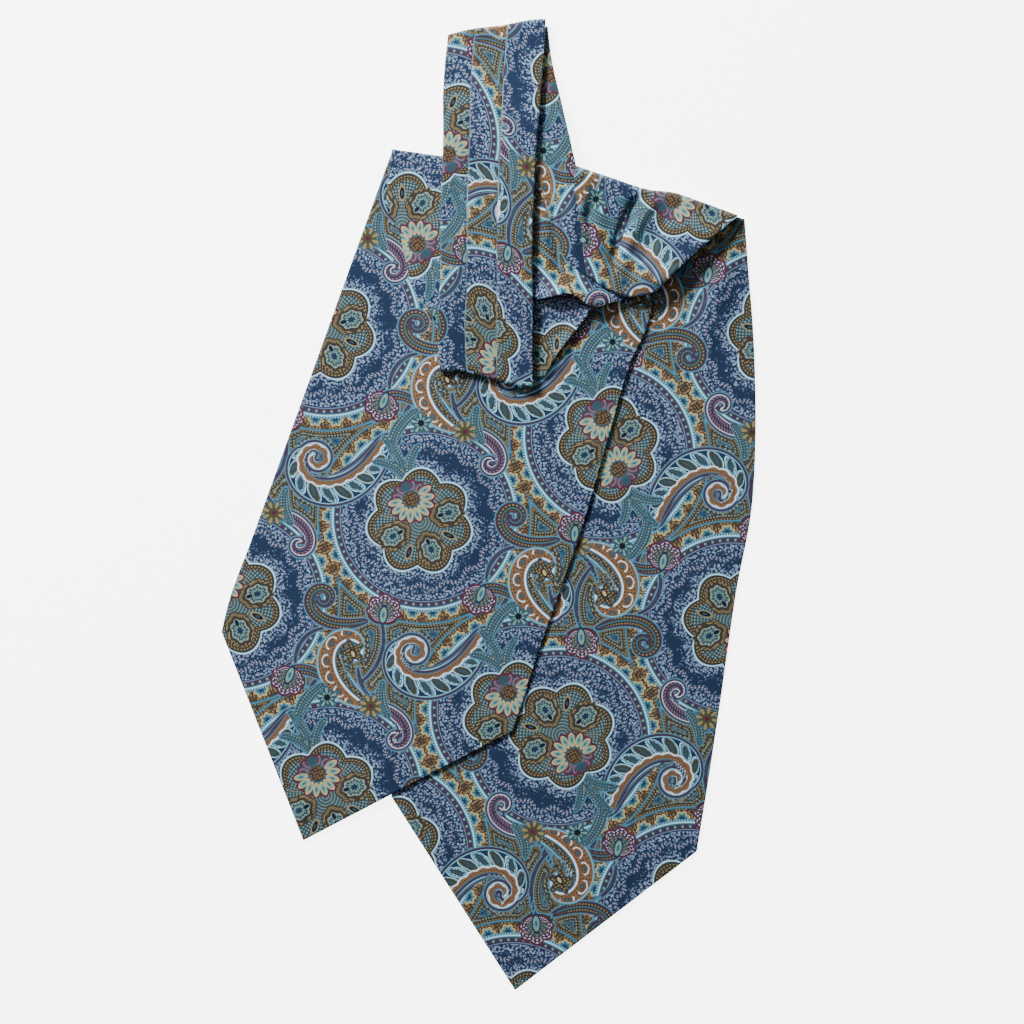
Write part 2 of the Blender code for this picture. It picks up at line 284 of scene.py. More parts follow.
# %% Blades
def blade(name, rows, bottom, creases, at, turn):
    """One pointed blade on its table of rows; bottom gives the height that it lies on."""
    table = np.array(rows)
    share = lines(BLADE_LENGTH, 1.5)
    u = lines(BLADE_WIDTH, 1.25, extra=(0.5,))
    cut = [smooth(share, table[:, 0], table[:, c]) for c in range(1, 7)]
    left, middle, right = (np.stack(cut[k:k + 2], -1)[None] for k in (0, 2, 4))
    U = u[:, None, None]
    xy = np.where(U < 0.5, left + (middle - left) * 2 * U, middle + (right - middle) * (2 * U - 1))
    x, y = xy[..., 0], xy[..., 1]
    z = bottom(x, y) + BLADE_WALL / 2 + np.maximum(creased(x, y, creases), 0)
    sides, ends = rim_round(u, BLADE_WIDTH, BLADE_WALL), rim_round(share, BLADE_LENGTH, BLADE_WALL)
    half = BLADE_WALL / 2 * sides[:, None] * ends[None]
    return shell(name, np.stack([x, y, z], -1), half, print_place(x, y, at, turn))


UNDER_CREASES = (
    (2.0, 8.0, ((126.0, 138.0), (119.0, 122.0), (114.0, 104.0), (111.0, 78.0))),
    (0.25, 14.0, ((124.0, 80.0), (118.0, 30.0), (110.0, -30.0))),
    (0.25, 10.0, ((40.0, -150.0), (70.0, -180.0), (92.0, -178.0))),
)
OVER_CREASES = (
    (0.3, 12.0, ((-96.0, 30.0), (-84.0, -40.0), (-92.0, -120.0))),
    (0.25, 10.0, ((-30.0, 60.0), (-20.0, 0.0), (-26.0, -70.0))),
    (0.5, 3.0, ((-96.0, -160.0), (-92.0, -152.0), (-84.0, -150.0))),
    (0.3, 9.0, ((70.0, 96.0), (56.0, 40.0), (40.0, -20.0))),
)
under = blade("blade_under", BLADE_UNDER_ROWS, lambda x, y: 0 * x, UNDER_CREASES, (34.5, -117.8), 213.0)
over = blade("blade_over", BLADE_OVER_ROWS, lift, OVER_CREASES, (-32.4, -6.2), 23.0)

# %% [markdown]
# ## Folds
#
# Where cloth turns back on itself it goes round a soft half circle, as high as the layers it
# encloses. The fold's grid comes up round that half circle and runs on along the stretch.

# %% Tool that rolls a grid round its ends
def rolled(edges, u, down, low_z, high_z, turns, far_z=None):
    """Grid that comes round a fold at its low edge; with far_z its top edge folds down too."""
    both = far_z is not None
    probe = patch(edges, np.repeat(u[:, None], 25, 1), np.repeat(np.linspace(0, 1, 25)[None], len(u), 0))
    length = np.linalg.norm(np.diff(probe, axis=1), axis=2).sum(1)
    start, radius = {}, {}
    for end in (0.0, 1.0)[:1 + both]:
        edge = patch(edges, u, np.full_like(u, end))
        near = high_z(u, np.full_like(u, end), edge[:, 0], edge[:, 1])
        start[end] = low_z(edge[:, 0], edge[:, 1]) if end == 0.0 else far_z
        radius[end] = (near - start[end]) / 2
    first = radius[0.0] / length
    last = 1 - (radius[1.0] / length if both else 0 * first)
    angle = np.linspace(0, math.pi, turns)[:-1]
    v_low = radius[0.0][:, None] * (1 - np.sin(angle))[None] / length[:, None]
    z_low = start[0.0][:, None] + radius[0.0][:, None] * (1 - np.cos(angle))[None]
    v_run = first[:, None] + (last - first)[:, None] * down[None]
    cols = [v_low, v_run]
    if both:
        cols.append(1 - radius[1.0][:, None] * (1 - np.sin(angle[::-1]))[None] / length[:, None])
    v = np.concatenate(cols, 1)
    U = np.repeat(u[:, None], v.shape[1], 1)
    xy = patch(edges, U, v)
    z = high_z(U, v, xy[..., 0], xy[..., 1])
    k = len(angle)
    z[:, :k] = z_low
    if both:
        z[:, -k:] = far_z + radius[1.0][:, None] * (1 - np.cos(angle[::-1]))[None]
    mid = np.concatenate([xy, z[..., None]], 2)
    steps = np.linalg.norm(np.diff(mid, axis=1), axis=2)
    run = np.concatenate([np.zeros((len(u), 1)), np.cumsum(steps, 1)], 1)
    return mid, U, run


def walls(mid, u, width, wall):
    """Half thickness over a rolled grid: rounded at its sides and closed at its two cut ends."""
    half = np.repeat(wall / 2 * rim_round(u, width, wall)[:, None], mid.shape[1], 1)
    half[:, [0, -1]] = 0.0
    return half


# %% [markdown]
# ## Neckband, turned-over tops and the fan of gathers
#
# The neckband is the strip pressed into three knife pleats. It turns back on itself twice, at
# the bottom loop and at the top loop. Below, the silk opens out again into each blade's
# turned-over top; on the right it makes a fan of soft gathers over a thick roll.

# %% Neckband in front
def band_lift(y, start):
    """Height of the band over the table: none at the loop, all of it below the ramp."""
    return BAND_LIFT * ease(start, start - LOOP_RAMP, y)


def front_height(u, v, x, y):
    """Middle of the front band's wall, stepped up at each pleat and low at the bottom loop."""
    pleats = sum(PLEAT_STEP * ease(s - 0.004, s + 0.004, u) for s in PLEAT_SHARES)
    dips = sum(-0.22 * np.exp(-((u - s + 0.012) / 0.01) ** 2) for s in PLEAT_SHARES)
    soft = 0.12 * np.sin(y * 0.11 + u * 5.0) * np.sin(u * 9.0)
    loop = -2.0 * ease(0.35, 0.0, v)
    return BAND_WALL / 2 + BAND_STEP + band_lift(y, 238.0) + pleats + dips + soft + loop


front_u = lines(FRONT_WIDTH, 1.0, extra=PLEAT_SHARES)
front_mid, U, run = rolled((FRONT_LOW, FRONT_TOP, FRONT_LEFT, FRONT_RIGHT), front_u,
                           np.linspace(0, 1, 150), lambda x, y: BAND_LIFT - PLY + BAND_WALL / 2 + 0 * x,
                           front_height, 12, far_z=BAND_WALL / 2)
across = U * FRONT_CLOTH + sum(FRONT_TUCK * (U > s) for s in PLEAT_SHARES)
front_cloth = print_place(across, run, (40.0, 20.0), 200.0)
front_half = walls(front_mid, front_u, FRONT_WIDTH, BAND_WALL)
front = shell("band_front", front_mid, front_half, front_cloth)

# %% Neckband behind, and its roll to the right
back_u = lines(BACK_WIDTH, 1.0, extra=(BACK_PLEAT_SHARE,))
back_v = lines(BACK_LENGTH, 1.1)
U, V = np.meshgrid(back_u, back_v, indexing="ij")
xy = patch((BACK_TOP, BACK_END, BACK_LEFT, BACK_RIGHT), U, V)
x, y = xy[..., 0], xy[..., 1]
BACK_CREASES = (
    (-0.5, 1.3, ((24.0, 176.0), (31.0, 152.0), (33.5, 130.0), (37.0, 112.0), (50.0, 101.0))),
    (0.9, 3.5, ((38.0, 172.0), (41.5, 145.0), (43.0, 122.0), (52.0, 108.0), (66.0, 105.5))),
    (0.6, 2.5, ((28.0, 150.0), (29.0, 128.0), (30.0, 112.0))),
    (-0.5, 1.0, ((46.0, 116.0), (56.0, 106.5), (74.0, 106.0))),
    (5.5, 5.0, ((25.0, 104.0), (33.0, 104.5), (42.0, 105.0), (51.0, 101.0), (60.0, 102.0))),
)
pleat = PLEAT_STEP * ease(BACK_PLEAT_SHARE - 0.01, BACK_PLEAT_SHARE + 0.01, U)
z = BAND_WALL / 2 + band_lift(y, 234.0) + pleat + creased(x, y, BACK_CREASES) * ease(200.0, 178.0, y)
back_mid = np.stack([x, y, z], -1)
sides, ends = rim_round(back_u, BACK_WIDTH, BAND_WALL), rim_round(back_v, BACK_LENGTH, BAND_WALL)
back_cloth = print_place(x + BACK_TUCK * (U > BACK_PLEAT_SHARE), y, (36.0, 224.0), 205.0)
back = shell("band_back", back_mid, BAND_WALL / 2 * sides[:, None] * ends[None], back_cloth)

# %% Turned-over top of the blade on top
OVER_FOLDS = (
    (0.5, 4.0, ((-44.0, 170.0), (-38.0, 130.0), (-26.0, 92.0))),
    (-0.4, 1.2, ((23.0, 96.0), (24.0, 80.0), (26.0, 66.0))),
    (1.6, 3.0, ((60.0, 114.0), (51.0, 98.0), (40.0, 83.0), (32.0, 72.0), (27.0, 65.0))),
)


def turn_over_height(u, v, x, y):
    """One ply above the blade it lies on, with its folds fading out at the rolled top."""
    folds = np.maximum(creased(x, y, OVER_FOLDS), -0.1) * ease(0.1, 0.3, v)
    return PLY + BLADE_WALL / 2 + lift(x, y) + folds


over_u = lines(OVER_WIDTH, 1.1)
turn_mid = rolled((TURN_OVER_FOLD, TURN_OVER_END, TURN_OVER_LEFT, TURN_OVER_RIGHT), over_u,
                  np.linspace(0, 1, 100), lambda x, y: lift(x, y) + BLADE_WALL / 2,
                  turn_over_height, 8)[0]
turn_cloth = print_place(turn_mid[..., 0], turn_mid[..., 1], (-45.0, 137.0), 222.0)
turn_half = walls(turn_mid, over_u, OVER_WIDTH, BLADE_WALL)
turn_over = shell("turnback_over", turn_mid, turn_half, turn_cloth)

# %% Fan of gathers: turned-over top of the blade underneath
FAN_CREASES = (
    (-4.4, 2.3, ((77.0, 157.0), (71.5, 149.0), (66.0, 136.0), (62.0, 122.0))),
    (1.2, 4.0, ((57.0, 165.0), (55.0, 138.0), (56.0, 120.0))),
    (1.8, 3.0, ((88.0, 158.0), (77.0, 144.0), (70.0, 130.0), (65.0, 114.0))),
    (-0.7, 3.0, ((94.0, 150.0), (84.0, 136.0), (75.0, 120.0), (68.0, 110.0))),
    (-0.5, 2.0, ((51.0, 156.0), (49.0, 140.0), (52.0, 120.0))),
)


def fan_height(u, v, x, y):
    """High along the gathered side, where it lies on the roll, and lower towards the fold."""
    gathered = 2.5 * np.maximum(ease(0.62, 0.9, v), ease(0.22, 0.1, u))
    folds = creased(x, y, FAN_CREASES) * ease(0.0, 0.2, v) * (1 - 0.4 * ease(0.8, 1.0, v))
    turned_in = -0.5 * ease(0.985, 1.0, u)
    propped = 3.2 * ease(0.55, 1.0, u) * ease(0.0, 0.3, v) * ease(1.0, 0.7, v)
    deepest = -3.4 + 1.4 * ease(0.5, 0.7, v)
    return BAND_LIFT + BLADE_WALL / 2 + 0.55 + gathered + np.maximum(folds, deepest) + turned_in + propped


fan_u = lines(FAN_WIDTH, 1.0)
fan_mid = rolled((FAN_FOLD, FAN_LOW, FAN_LEFT, FAN_RIGHT), fan_u, np.linspace(0, 1, 70),
                 lambda x, y: BLADE_WALL / 2 + 0 * x, fan_height, 10)[0]
fan_cloth = print_place(fan_mid[..., 0], fan_mid[..., 1], (100.0, 160.0), 120.0)
fan = shell("turnback_under", fan_mid, walls(fan_mid, fan_u, FAN_WIDTH, BLADE_WALL), fan_cloth)

# %% [markdown]
# ## The print, drawn once as a repeat
#
# The silk is printed in the old paisley manner: a lobed blossom in a round medallion, a
# feathered hook, a comma with ochre lobes, small palmettes, and rows of dots that echo every
# outline. This is a drawing of its own in that tradition, and no line of it is copied. All its
# curls come from one formula, a volute that swings in on an arm and winds up. The script works
# out for every place in the repeat how far it lies from each curl, and how far along it.

# %% One repeat, and the curls in it
REPEAT = np.array([(104.0, 0.0), (-7.0, 108.0)])
CELLS = (260, 270)
REACH = 22.0
WIND = 0.15

# Each curl: centre x and y, size, start in degrees, turns, arm, hand, then how wide it is
# outside and inside its line, and the share of its length that carries the outside.
CURLS = {
    "hook": ((-38.0, 48.0, 15.0, -6.0, 1.70, 1.45, -1, 8.5, 4.2, 0.66),),
    "comma": ((37.5, 60.0, 10.0, -98.0, 1.20, 1.75, -1, 7.5, 4.6, 0.80),),
    "tail": ((41.0, 12.0, 6.2, 112.0, 1.30, 3.0, -1, 2.6, 2.9, 1.0),),
    "curl": ((41.5, -17.5, 8.6, -50.0, 1.50, 1.9, -1, 2.4, 2.2, 1.0),
             (4.0, 58.0, 5.4, -20.0, 1.20, 2.2, 1, 1.8, 1.8, 1.0)),
    "leaf": ((-22.0, 20.0, 21.5, -6.0, 0.18, 0.0, 1, 1.9, 1.5, 1.0),
             (21.0, 20.0, 20.0, 186.0, 0.18, 0.0, -1, 1.8, 1.4, 1.0),
             (24.0, -84.0, 27.0, 88.0, 0.17, 0.0, 1, 2.2, 2.2, 1.0),
             (62.0, 30.0, 22.0, 200.0, 0.15, 0.0, -1, 2.2, 2.0, 1.0),
             (-40.0, 35.0, 41.0, -13.0, 0.08, 0.0, 1, 1.6, 1.6, 1.0)),
    "stem": ((34.0, -46.0, 18.5, 168.0, 0.24, 0.0, -1, 0.5, 0.4, 1.0),
             (-70.0, -40.0, 30.0, 0.0, 0.20, 0.0, -1, 0.5, 0.4, 1.0),
             (31.0, 35.0, 28.0, 172.0, 0.20, 0.0, -1, 0.5, 0.4, 1.0),
             (0.0, 14.0, 26.0, 84.0, 0.03, 0.0, 1, 1.2, 1.2, 1.0),
             (58.0, 40.0, 24.0, 150.0, 0.20, 0.0, 1, 0.5, 0.4, 1.0)),
}


def volute(x, y, size, start, turns, arm, hand):
    """Points on a line that swings in from an arm and winds up round (x, y)."""
    swing = np.linspace(0, turns * 2 * math.pi, max(9, round(turns * 44)))
    radius = size * (np.exp(-WIND * swing) + arm * np.exp(-1.5 * swing))
    angle = math.radians(start) + hand * swing
    return np.stack([x + radius * np.cos(angle), y + radius * np.sin(angle)], -1)


print(sum(len(rows) for rows in CURLS.values()), "curls in a repeat")

# %% How far each place lies from a curl
grid = np.stack(np.meshgrid(*(np.arange(n) / n for n in CELLS), indexing="ij"), -1)
PLACE = grid @ REPEAT
COPIES = [i * REPEAT[0] + j * REPEAT[1] for i in (-1, 0, 1, 2) for j in (-1, 0, 1, 2)]


def from_curl(dx, dy, line, hand):
    """Signed offset (outside the bend is plus), run along the line and share of its length."""
    best, run, total = np.full(dx.shape, 1e9), np.zeros(dx.shape), 0.0
    for a, b in zip(line[:-1], line[1:]):
        e = b - a
        t = np.clip(((dx - a[0]) * e[0] + (dy - a[1]) * e[1]) / (e @ e), 0, 1)
        d = np.hypot(dx - a[0] - t * e[0], dy - a[1] - t * e[1])
        side = np.where(e[0] * (dy - a[1]) - e[1] * (dx - a[0]) > 0, -hand, hand)
        closer = d < np.abs(best)
        best = np.where(closer, d * side, best)
        run = np.where(closer, total + t * np.hypot(*e), run)
        total += np.hypot(*e)
    return best, run, run / total


def curl_fields(rows):
    """Edge distance (inside is minus), offset and run of the nearest curl in the rows."""
    edge, offset, length = np.full(CELLS, REACH), np.full(CELLS, REACH), np.zeros(CELLS)
    for *shape, outside, inside, reach in rows:
        line = volute(*shape)
        middle = line.mean(0)
        radius = np.hypot(*(line - middle).T).max() + REACH
        for copy in COPIES:
            dx, dy = PLACE[..., 0] - copy[0], PLACE[..., 1] - copy[1]
            near = np.hypot(dx - middle[0], dy - middle[1]) < radius
            if not near.any():
                continue
            off, run, share = from_curl(dx[near], dy[near], line, shape[-1])
            bump = np.sin(math.pi * np.clip(share / reach, 0, 1)) ** 0.7
            body = np.sin(math.pi * np.clip(share, 0, 1) ** 0.7) ** 0.5
            new = np.maximum(off - 0.5 - outside * bump, -off - 0.4 - inside * body)
            wins = new < edge[near]
            for held, value in ((edge, new), (offset, off), (length, run)):
                held[near] = np.where(wins, value, held[near])
    return np.stack([edge, offset, length], -1)


def nearest_copy(x, y):
    """Distance to the nearest copy of a point, and the angle round it."""
    best = np.full(CELLS + (2,), 1e9)
    for copy in COPIES:
        d = PLACE - copy - (x, y)
        closer = np.hypot(*np.moveaxis(d, 2, 0)) < np.hypot(*np.moveaxis(best, 2, 0))
        best = np.where(closer[..., None], d, best)
    return np.hypot(best[..., 0], best[..., 1]), np.arctan2(best[..., 1], best[..., 0])


FIELDS = {kind: curl_fields(rows) for kind, rows in CURLS.items()}
print(len(FIELDS), "kinds of curl measured")

# %% The rows of dots echo the nearest outline
# Round motifs: centre x and y, least radius, what is added where it faces, and that heading.
ROUND = {"medallion": (0.0, 0.0, 53.0, 0.0, 0.0), "palmette_low": (12.0, -45.5, 3.6, 8.6, 3.93),
         "palmette_left": (-38.5, -38.0, 3.6, 8.6, 1.05), "rosette": (35.5, 31.5, 6.5, 0.0, 0.0),
         "bloom": (24.0, -64.0, 6.0, 0.0, 0.0)}
echo, echo_run = np.full(CELLS, REACH), np.zeros(CELLS)
for kind, field in FIELDS.items():
    wins = field[..., 0] < echo
    echo, echo_run = np.where(wins, field[..., 0], echo), np.where(wins, field[..., 2], echo_run)
for x, y, least, added, heading in ROUND.values():
    r, angle = nearest_copy(x, y)
    radius = least + added * np.cos((angle - heading) / 2) ** 2
    wins = r - radius < echo
    echo, echo_run = np.where(wins, r - radius, echo), np.where(wins, angle * (least + 3.0), echo_run)
FIELDS["echo"] = np.stack([echo, echo_run, 0 * echo], -1)
print("widest gap between outlines:", round(float(echo.max()), 1), "mm")

# %% Give every point of the cloth its distances
def sample(field, where):
    """Value of a field at places on the cloth, between the repeat's grid points."""
    at = ((where @ np.linalg.inv(REPEAT)) % 1.0) * CELLS
    i, j = np.floor(at).astype(int).T
    t, s = (at - np.floor(at)).T[..., None]
    i1, j1 = (i + 1) % CELLS[0], (j + 1) % CELLS[1]
    i, j = i % CELLS[0], j % CELLS[1]
    return (field[i, j] * (1 - t) * (1 - s) + field[i1, j] * t * (1 - s)
            + field[i, j1] * (1 - t) * s + field[i1, j1] * t * s)


for name, (piece, where) in SHEETS.items():
    for kind, field in FIELDS.items():
        layer = piece.data.attributes.new(f"print_{kind}", "FLOAT_VECTOR", "POINT")
        layer.data.foreach_set("vector", sample(field, where).astype(np.float32).ravel())
print("each piece has", len(FIELDS), "print attributes")

# %% [markdown]
# ## Silk
#
# The cloth is silk twill with an acid-dyed print. The dye sits in the yarn, so the surface is
# a plain cloth one: soft, with a low grazing sheen from the filaments.
#
# The print is built up in layers, ground first, the way the screens are laid down. Each row
# says where a dye goes, as a formula of the distances in millimetres, and which dye. What is
# round, such as the medallion, is worked out exactly from angle and radius, so it stays crisp.

# %% Dyes
def linear(text):
    """sRGB hex text to the linear colour that the renderer works in."""
    parts = [int(text[i:i + 2], 16) / 255 for i in (1, 3, 5)]
    return tuple(p / 12.92 if p <= 0.04045 else ((p + 0.055) / 1.055) ** 2.4 for p in parts) + (1.0,)


DYE = {
    "navy": "#1c2c47", "teal": "#345f77", "sky": "#71b5cd", "lilac": "#667a99", "plum": "#3c2e44",
    "burgundy": "#521c35", "rose": "#74586a", "ochre": "#7a5b40", "brown": "#37322b", "olive": "#424531",
    "cream": "#c4ab76", "sage": "#6c968c", "white": "#dcecff", "dark": "#0a1228", "slate": "#2f4855",
    "pale": "#bccadd", "straw": "#8a7c58", "ice": "#a5dcf2", "mist": "#84958a",
    "azure": "#487e97",
}

# %% Shapes that the layers are cut to
# Each is a distance or an angle, written as a formula; below zero is inside. In them cut(x) is 1
# where x is below zero and 0 above, band(x, a, b) is 1 between a and b, dots(s, d, p, q) are
# rows of dots p apart along s and q apart along d, and wrap(x, w) folds x into w about zero.
SHAPES = {
    "hollow": "3.9 + 1.3*abs(sin(echo_run*0.5)) - echo",
    "sprig": "min(41.0 - mr, blossom - 1.2)",
    "frond": "sprig - 4.0 - 1.5*cos(ma*25.0 + 9.0*drift) - 5.0*(drift - 0.5)",
    "thread": "abs(mr - 35.2 - 1.5*cos(ma*17.0)) - 0.5",
    "tooth": "hypot(wrap(ma, 0.2094)*48.0, mr - 47.6) + 0.45*cos(7*atan2(wrap(ma, 0.2094)*48.0, mr - 47.6))",
    "blossom": "br - 21.6 - 4.8*abs(sin(3.5*ba + 0.785))",
    "turn": "wrap(ba + 1.571, 6.2832)",
    "lower": "cut(abs(turn) - 2.1)",
    "heart_out": "(br*cos(wrap(turn, 1.466)) - 15.2)*0.75",
    "heart_side": "br*sin(wrap(turn, 1.466))",
    "round_heart": "atan2(heart_side, heart_out)",
    "heart": "hypot(heart_out, heart_side) + 0.35*cos(7*round_heart)",
    "tip": "hypot((heart_out + 3.2)*0.6, heart_side)",
    "drop": "hypot((br*cos(wrap(turn + 0.733, 1.466)) - 16.2)*0.4, br*sin(wrap(turn + 0.733, 1.466)))",
    "fanturn": "wrap(ea + 1.571, 6.2832)",
    "fan": "er - 11.2 + 2.4*cut(1.96 - abs(fanturn)) - 1.3*abs(cos(7.2*fanturn))",
    "open": "cut(abs(fanturn) - 1.96)",
    "flank": "cut(abs(fanturn) - 2.75)",
    "petal": "hypot((er*cos(wrap(fanturn, 0.4363)) - 8.2)*0.45, er*sin(wrap(fanturn, 0.4363)))",
    "bud": "hypot((er*cos(wrap(fanturn + 0.4, 0.8)) - 7.0)*0.7, er*sin(wrap(fanturn + 0.4, 0.8)))",
    "trefoil": "cr - 4.9 - 1.6*cos(5*ca - 1.2)",
    "rosette": "our - 5.2 - 1.1*cos(8*oua)",
    "bloom": "gr - 4.6 - 1.0*cos(5*ga)",
    "lean": "wrap(hook_run + 0.5*hook_off, 6.0)",
    "feather_share": "hook_off/max(hook_off - hook, 0.5)",
    "feather": "abs(lean) - 2.8*sqrt(max(0.0, 1 - pow(1.75*feather_share - 0.8, 2)))",
    "lobe": "abs(wrap(comma_run, 7.2))",
    "lobed": "hypot(lobe, comma_off - 3.4)",
}
# Round motifs: the medallion, its blossom, the flower in it, the trefoil in the comma, the
# rosette, both palmettes and the bloom. Each gets its own x, y, distance r and angle a.
CENTRES = {"m": (0.0, 0.0), "b": (-3.0, -1.0), "e": (-2.5, 11.0), "c": (37.5, 60.0), "ou": (35.5, 31.5),
           "p": (12.0, -45.5), "q": (-38.5, -38.0), "g": (24.0, -64.0)}
for k, (x, y) in CENTRES.items():
    SHAPES[k + "j"] = f"round((Y - {y})/{REPEAT[1, 1]})"
    SHAPES[k + "x"] = f"wrap(X - {x} - {REPEAT[1, 0]}*{k}j, {REPEAT[0, 0]})"
    SHAPES[k + "y"] = f"Y - {y} - {REPEAT[1, 1]}*{k}j"
    SHAPES[k + "r"] = f"hypot({k}x, {k}y)"
    SHAPES[k + "a"] = f"atan2({k}y, {k}x)"
for k, heading in (("p", 3.93), ("q", 1.05)):
    SHAPES[k + "t"] = f"wrap({k}a - {heading}, 6.2832)"
    SHAPES[k + "shell"] = (f"{k}r - 3.0 - 7.6*pow(cos({k}t/2), 2)"
                           f" - 1.8*abs(cos(4.5*{k}t))*cut(abs({k}t) - 1.4)")
    SHAPES[k + "seed"] = f"hypot(({k}r*cos({k}t) - 1.2)*0.42, {k}r*sin({k}t))"

# %% Layers of the ground, the medallion and its blossom
# Each row is laid over the rows before it.
GROUND = (
    ("1", "brown"),
    ("cut(0.9 - echo)*dots(echo_run, echo - 0.2, 1.5, 1.3)", "straw"),
    ("cut(2.2 - echo)*dots(echo_run, echo - 0.2, 1.5, 1.3)", "mist"),
    ("cut(hollow - 0.7)", "teal"),
    ("cut(hollow)", "navy"),
    ("cut(hollow + 0.7)*cut(pin - 0.33)*cut(drift - 0.52)", "teal"),
    ("band(echo, 0.9, 1.8)", "brown"),
    ("band(echo, 1.0, 1.7)*cut(0.2 - cos(echo_run*4.0))", "straw"),
    ("band(echo, 0.0, 0.75)", "azure"),
    ("cut(mr - 53.2)", "teal"),
    ("cut(mr - 52.6)", "brown"),
    ("cut(mr - 52.2)*cut(pin - 0.42)", "ochre"),
    ("band(tooth, 4.4, 5.2)*cut(0.2 - cos(ma*200.0))", "straw"),
    ("cut(tooth - 3.9)", "brown"),
    ("band(tooth, 3.0, 3.7)", "cream"),
    ("cut(tooth - 2.9)", "sage"),
    ("cut(tooth - 2.2)", "teal"),
    ("cut(tooth - 1.2)", "navy"),
    ("cut(mr - 47.4)", "teal"),
    ("band(mr, 46.2, 47.3)*cut(0.1 - cos(ma*210.0))", "sky"),
    ("cut(mr - 46.2)", "ice"),
    ("cut(mr - 45.4)", "teal"),
    ("cut(mr - 44.7)", "plum"),
    ("cut(hypot(wrap(ma, 0.0873)*43.6, mr - 43.7) - 0.65)", "sage"),
    ("cut(mr - 42.4)", "lilac"),
    ("cut(mr - 41.9)", "navy"),
    ("cut(mr - 41.4)*cut(frond)*cut((leaflet - 0.43)*2)", "lilac"),
    ("cut(mr - 41.4)*cut(frond + 0.3)*cut((leaflet - 0.31)*2)*cut((0.46 - grain)*4)", "pale"),
    ("cut(mr - 41.4)*cut(frond - 3.0)*cut((leaflet - 0.30)*2)*cut((0.52 - grain)*4)", "lilac"),
    ("cut(1.5 - sprig)*cut(thread - 1.5)", "navy"),
    ("cut(1.5 - sprig)*cut(thread - 0.9)*cut(cos(ma*110.0) - 0.1)", "lilac"),
    ("cut(1.5 - sprig)*cut(thread)", "plum"),
    ("cut(1.5 - sprig)*cut(thread + 0.3)*cut(0.1 - cos(ma*140.0))", "pale"),
)
BLOSSOM = (
    ("cut(blossom - 1.0)", "ice"),
    ("cut(blossom - 0.1)", "navy"),
    ("cut(blossom + 0.3)", "brown"),
    ("cut(blossom + 0.5)*dots(ba*24.0, blossom, 1.571, 1.5)", "straw"),
    ("cut(blossom + 3.2)", "dark"),
    ("cut(blossom + 3.5)", "slate"),
    ("cut(blossom + 3.6)*dots(ba*20.0, br, 1.571, 1.6)", "mist"),
    ("band(heart, 6.2, 7.4)*lower*cut(blossom + 3.2)", "brown"),
    ("band(heart, 6.2, 7.4)*lower*cut(blossom + 3.5)*dots(ba*20.0, heart, 1.571, 1.3)", "straw"),
    ("cut(heart - 6.2)*lower", "brown"),
    ("band(heart, 4.9, 6.1)*lower*dots(ba*16.0, heart, 1.4, 1.5)", "straw"),
    ("cut(heart - 4.7)*lower", "dark"),
    ("cut(heart - 4.4)*lower", "mist"),
    ("cut(heart - 3.9)*lower", "slate"),
    ("band(heart, 2.2, 3.9)*lower*dots(round_heart*3.2, heart, 1.256, 1.2)", "mist"),
    ("cut(heart - 2.0)*lower", "sage"),
    ("cut(heart - 1.5)*lower", "navy"),
    ("cut(tip - 0.8)*lower", "dark"),
    ("cut(drop - 1.7)*lower", "straw"),
    ("cut(drop - 1.2)*lower", "dark"),
    ("cut(drop - 0.5)*lower", "slate"),
    ("cut(fan)", "burgundy"),
    ("cut(fan + 1.0)", "slate"),
    ("cut(bud - 2.3)*cut(fan + 0.9)*cut(open - 0.5)*flank", "rose"),
    ("cut(bud - 1.3)*cut(fan + 0.9)*cut(open - 0.5)*flank", "plum"),
    ("cut(petal - 1.6)*open", "cream"),
    ("cut(petal - 1.2)*open", "sage"),
    ("cut(petal - 0.5)*open", "teal"),
    ("cut(er - 4.7)", "teal"),
    ("cut(er - 4.1)", "brown"),
    ("cut(er - 3.9)*cut(pin - 0.45)", "ochre"),
)
print(len(GROUND) + len(BLOSSOM), "layers up to the blossom")

# %% Layers of the curls
HOOK = (
    ("cut(hook - 2.4)", "azure"),
    ("cut(hook - 1.9)", "plum"),
    ("cut(hook - 0.7)", "sky"),
    ("cut(hook - 0.2)", "navy"),
    ("cut(hook)*cut(0.5 - hook_off)*cut(feather)", "ice"),
    ("cut(hook)*cut(0.5 - hook_off)*cut(feather + 0.4)", "azure"),
    ("cut(hook)*cut(0.5 - hook_off)*cut(feather + 0.7)*cut(pin - 0.4)", "ice"),
    ("cut(hook)*cut(0.5 - hook_off)*cut(feather + 0.8)"
     "*cut(0 - cos(hook_run*0.524 + hook_off*0.26))", "olive"),
    ("cut(hook)*cut(1.6 - hook_off)*cut(feather + 1.4)", "brown"),
    ("cut(hook)*cut(1.6 - hook_off)*cut(feather + 1.9)", "slate"),
    ("cut(hook)*cut(hook_off - 0.1)", "ochre"),
    ("cut(hook)*band(hook_off, -2.0, -0.5)*dots(hook_run, hook_off + 1.2, 1.4, 1.4)", "brown"),
    ("cut(abs(hook_off - 0.8*abs(sin(hook_run*0.524))) - 0.4)*cut(hook - 0.2)", "white"),
    ("cut(hook - 0.3)*cut(hook_off + 2.2)", "teal"),
    ("cut(hook - 0.6)*cut(hook_off + 2.8)", "plum"),
    ("cut(hook)*cut(hook_off + 3.9)", "sky"),
)
